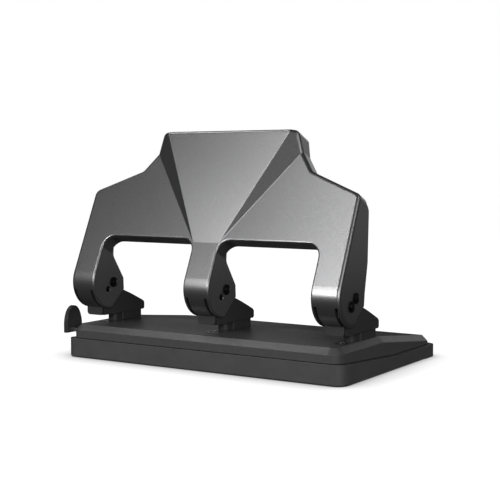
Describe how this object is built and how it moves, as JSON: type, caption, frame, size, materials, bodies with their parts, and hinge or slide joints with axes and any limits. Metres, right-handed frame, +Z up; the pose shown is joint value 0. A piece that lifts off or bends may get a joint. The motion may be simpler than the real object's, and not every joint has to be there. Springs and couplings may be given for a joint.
{
  "type": "three hole punch",
  "caption": "Desktop three hole paper punch with a lean-back metal lever handle, punch heads on a black base plate, a side paper guide and a hinged chip tray.",
  "frame": {"origin": "on the table surface, below the middle of the base", "axes": "+X along the base's length, +Y from the paper side to the rear, +Z up"},
  "size_m": [0.2502, 0.162, 0.1775],
  "materials": {
    "handle_paint": "satin",
    "base_paint": "semi-gloss",
    "bracket_paint": "semi-gloss",
    "tray_plastic": "satin",
    "guide_plastic": "gloss",
    "rubber": "matte",
    "steel": "bright",
    "pin_steel": "black oxide",
    "tool_steel": "ground",
    "spring_steel": "bright"
  },
  "bodies": {
    "frame": {"base_plate": "base_paint", "rear_rail": "tray_plastic", "rail_screws": "steel", "tray_hinge_pin": "steel", "bracket_left": "bracket_paint", "bracket_middle": "bracket_paint", "bracket_right": "bracket_paint", "foot_left": "bracket_paint", "foot_middle": "bracket_paint", "foot_right": "bracket_paint", "die_left": "tool_steel", "die_middle": "tool_steel", "die_right": "tool_steel", "punch_guide_left": "tool_steel", "punch_guide_middle": "tool_steel", "punch_guide_right": "tool_steel", "return_spring_left": "spring_steel", "return_spring_middle": "spring_steel", "return_spring_right": "spring_steel", "bracket_screws": "steel", "pivot_pins": "pin_steel", "pivot_pin_clip": "pin_steel"},
    "handle": {"handle": "handle_paint", "drive_pins": "pin_steel", "drive_pin_clips": "pin_steel"},
    "punch_left": {"punch_left": "tool_steel"},
    "punch_middle": {"punch_middle": "tool_steel"},
    "punch_right": {"punch_right": "tool_steel"},
    "tray": {"chip_tray": "tray_plastic", "nonskid_mat": "rubber"},
    "paper_guide": {"guide_tab": "guide_plastic", "guide_bar": "steel"}
  },
  "joints": [
    {"name": "handle_swing", "type": "hinge", "parent": "frame", "child": "handle", "pos_m": [0, -0.0612, 0.0532], "axis": [-1, 0, 0], "range_deg": [0, 60], "stiffness_Nm_per_rad": 0.5, "springref_deg": -28.65},
    {"name": "punch_left_slide", "type": "slide", "parent": "frame", "child": "punch_left", "axis": [0, 0, -1], "range_m": [0, 0.0086], "deforming": ["return_spring_left"]},
    {"name": "punch_middle_slide", "type": "slide", "parent": "frame", "child": "punch_middle", "axis": [0, 0, -1], "range_m": [0, 0.0086], "deforming": ["return_spring_middle"]},
    {"name": "punch_right_slide", "type": "slide", "parent": "frame", "child": "punch_right", "axis": [0, 0, -1], "range_m": [0, 0.0086], "deforming": ["return_spring_right"]},
    {"name": "tray_hinge", "type": "hinge", "parent": "frame", "child": "tray", "pos_m": [0, 0.0564, 0.0032], "axis": [1, 0, 0], "range_deg": [0, 75]},
    {"name": "guide_slide", "type": "slide", "parent": "frame", "child": "paper_guide", "axis": [-1, 0, 0], "range_m": [0, 0.02]}
  ],
  "couplings": [
    {"joint": "punch_left_slide", "follows": "handle_swing", "m_per_rad": 0.0080714},
    {"joint": "punch_middle_slide", "follows": "handle_swing", "m_per_rad": 0.0080714},
    {"joint": "punch_right_slide", "follows": "handle_swing", "m_per_rad": 0.0080714}
  ]
}
